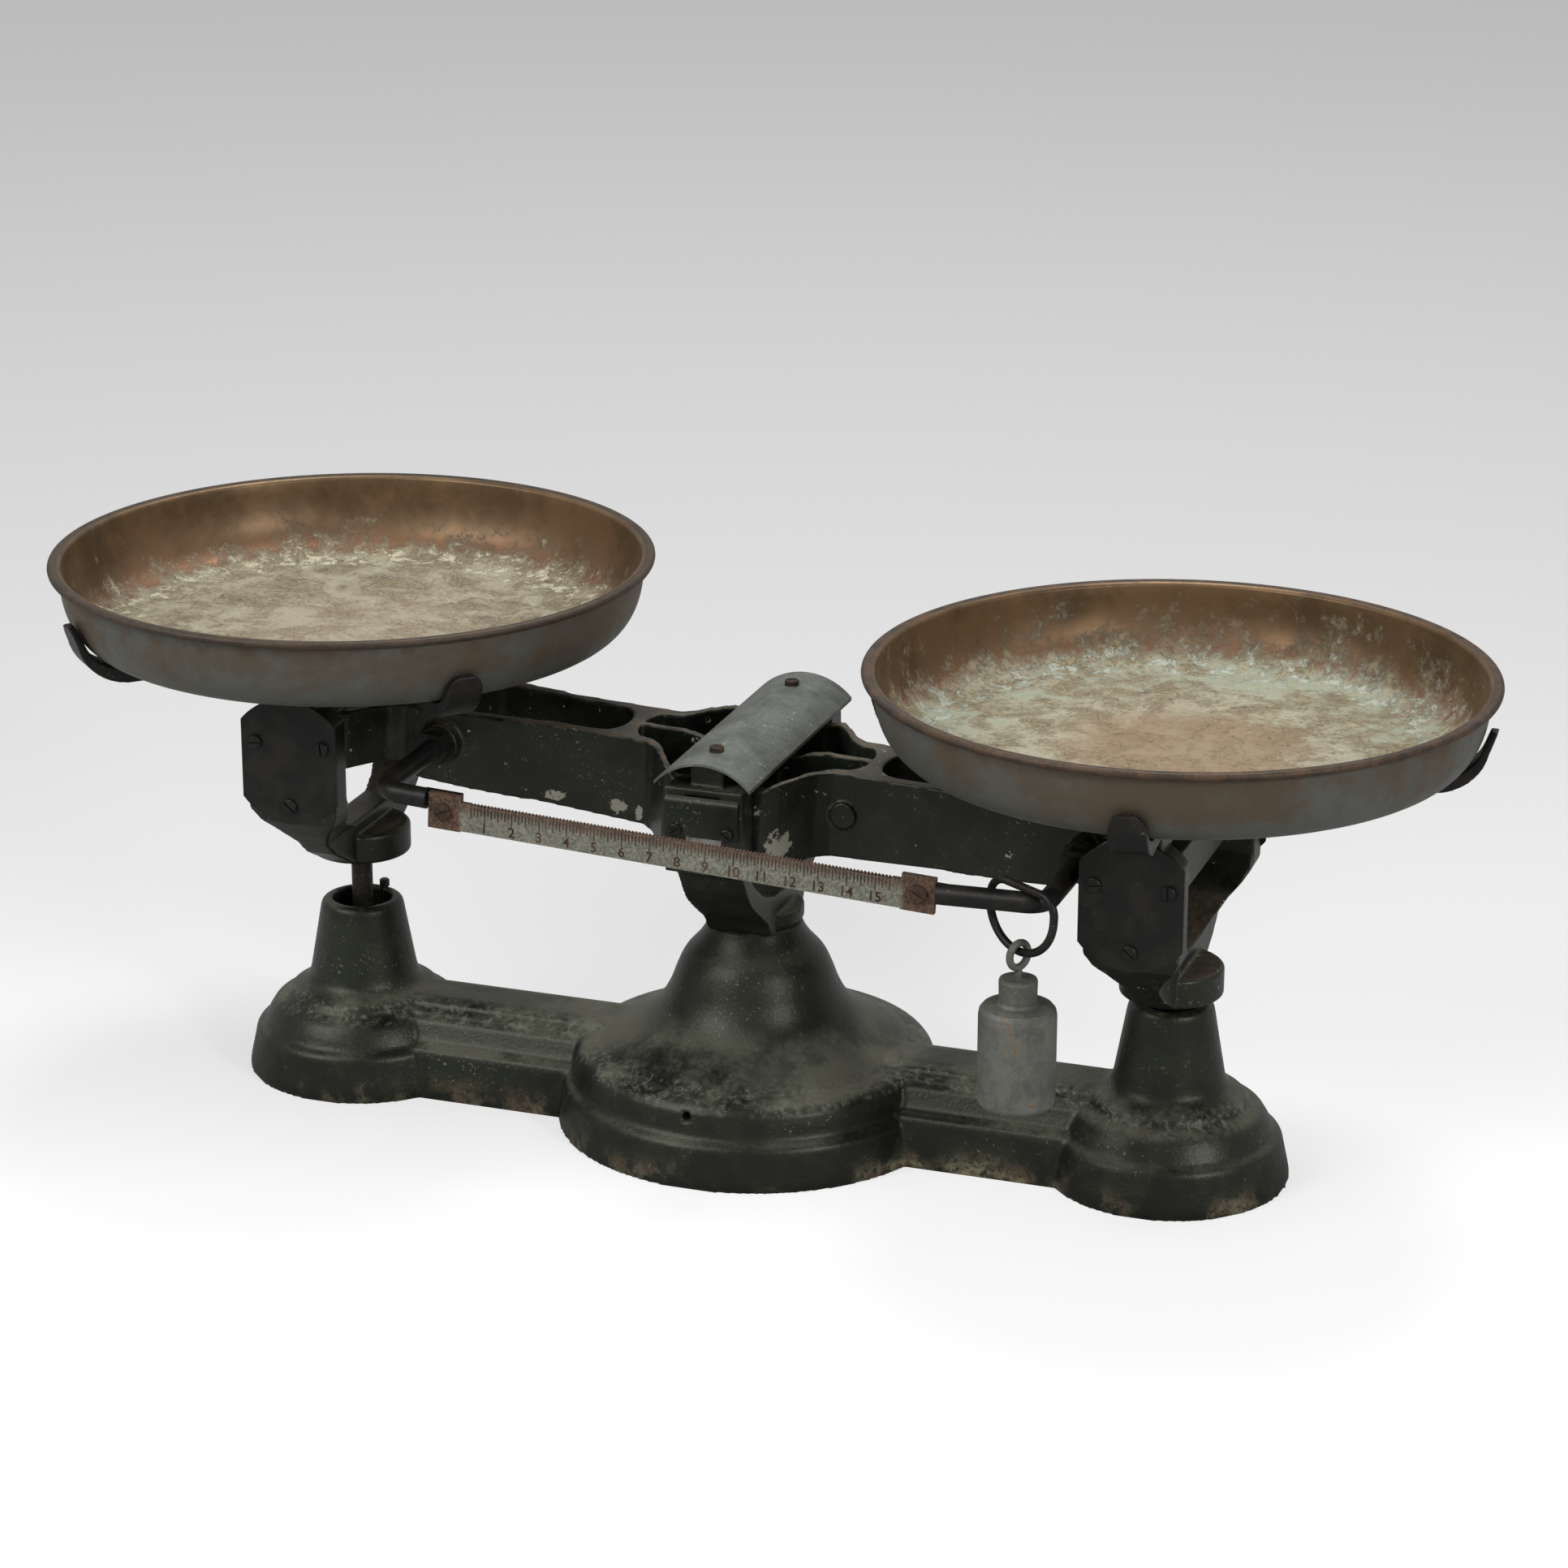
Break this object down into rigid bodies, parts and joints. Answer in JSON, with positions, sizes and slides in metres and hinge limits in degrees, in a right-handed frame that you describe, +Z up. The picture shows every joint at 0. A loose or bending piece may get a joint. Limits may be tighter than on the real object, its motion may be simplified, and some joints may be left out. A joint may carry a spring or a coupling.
{
  "type": "counter scale",
  "caption": "Equal-arm counter scale: hollow cast base, tilting beam with graduated bar and sliding poise, stay in the base, two lift-off pans.",
  "frame": {"origin": "centre of the base's underside, on the table", "axes": "+Z up, X along the beam with the poise's rest end at +X, -Y is the front with the graduated bar"},
  "size_m": [0.6134, 0.2556, 0.2298],
  "materials": {
    "base_iron": "worn black paint over cast iron, dust in the hollows",
    "moving_iron": "worn black paint over cast iron, pale chips",
    "dark_steel": "blackened steel with brown rust",
    "bare_steel": "ground steel, slightly oxidised",
    "bar_steel": "whitish scraped face over rust",
    "rusty_steel": "rusty",
    "cover_sheet": "dull grey oxidised sheet",
    "poise_zinc": "dull grey with rust stains",
    "pan_copper": "brown patina outside, grey and green crust inside"
  },
  "bodies": {
    "base": {"base_casting": "base_iron", "post_stop_pins": "base_iron", "stay_pivot_pin": "bare_steel", "yoke_casting": "base_iron", "yoke_bolt": "bare_steel", "centre_bearing_front": "bare_steel", "centre_bearing_rear": "bare_steel", "bearing_cap_front": "base_iron", "bearing_cap_rear": "base_iron", "bearing_cap_screws": "dark_steel", "centre_cover": "cover_sheet", "cover_screws": "dark_steel"},
    "beam": {"beam_casting": "moving_iron", "centre_knife": "bare_steel", "end_knife_left": "bare_steel", "end_knife_right": "bare_steel", "graduated_bar": "bar_steel", "bar_screws": "rusty_steel", "bar_arm_left": "dark_steel", "bar_arm_right": "dark_steel", "arm_washers": "rusty_steel", "arm_nuts": "rusty_steel"},
    "carrier_left": {"carrier_left": "moving_iron", "carrier_bearings_left": "bare_steel", "carrier_rod_left": "dark_steel", "cheek_plate_left_front": "dark_steel", "cheek_plate_left_rear": "dark_steel", "cheek_screws_left": "dark_steel", "spider_left": "dark_steel", "spider_screw_left": "bare_steel"},
    "pan_left": {"pan_left": "pan_copper"},
    "carrier_right": {"carrier_right": "moving_iron", "carrier_bearings_right": "bare_steel", "carrier_rod_right": "dark_steel", "cheek_plate_right_front": "dark_steel", "cheek_plate_right_rear": "dark_steel", "cheek_screws_right": "dark_steel", "spider_right": "dark_steel", "spider_screw_right": "bare_steel", "spider_spacer_right": "dark_steel"},
    "pan_right": {"pan_right": "pan_copper"},
    "stay": {"stay_bar": "moving_iron", "stay_end_pins": "bare_steel"},
    "poise_bail": {"poise_bail": "dark_steel"},
    "poise_weight": {"poise_weight": "poise_zinc", "poise_eye": "poise_zinc"}
  },
  "joints": [
    {"name": "beam_tilt", "type": "hinge", "parent": "base", "child": "beam", "pos_m": [0, 0, 0.154], "axis": [0, -1, 0], "range_deg": [0, 5.8]},
    {"name": "carrier_left_pivot", "type": "hinge", "parent": "beam", "child": "carrier_left", "pos_m": [-0.17927, 0, 0.16308], "axis": [0, -1, 0], "range_deg": [-5.8, 0]},
    {"name": "carrier_right_pivot", "type": "hinge", "parent": "beam", "child": "carrier_right", "pos_m": [0.17927, 0, 0.14492], "axis": [0, -1, 0], "range_deg": [-5.8, 0]},
    {"name": "stay_pivot", "type": "hinge", "parent": "base", "child": "stay", "pos_m": [0, 0, 0.018], "axis": [0, -1, 0], "range_deg": [0, 5.8]},
    {"name": "poise_slide", "type": "slide", "parent": "beam", "child": "poise_bail", "axis": [-0.9987, 0, 0.0506], "range_m": [0, 0.23]},
    {"name": "poise_swing", "type": "hinge", "parent": "poise_bail", "child": "poise_weight", "pos_m": [0.14072, -0.09, 0.12506], "axis": [-0.8829, 0.4695, 0], "range_deg": [-10, 30]},
    {"name": "pan_left_lift", "type": "slide", "parent": "carrier_left", "child": "pan_left", "axis": [0, 0, 1], "range_m": [0, 0.06]},
    {"name": "pan_right_lift", "type": "slide", "parent": "carrier_right", "child": "pan_right", "axis": [0, 0, 1], "range_m": [0, 0.06]}
  ],
  "couplings": [
    {"joint": "carrier_left_pivot", "follows": "beam_tilt", "ratio": -1},
    {"joint": "carrier_right_pivot", "follows": "beam_tilt", "ratio": -1},
    {"joint": "stay_pivot", "follows": "beam_tilt", "ratio": 1}
  ]
}
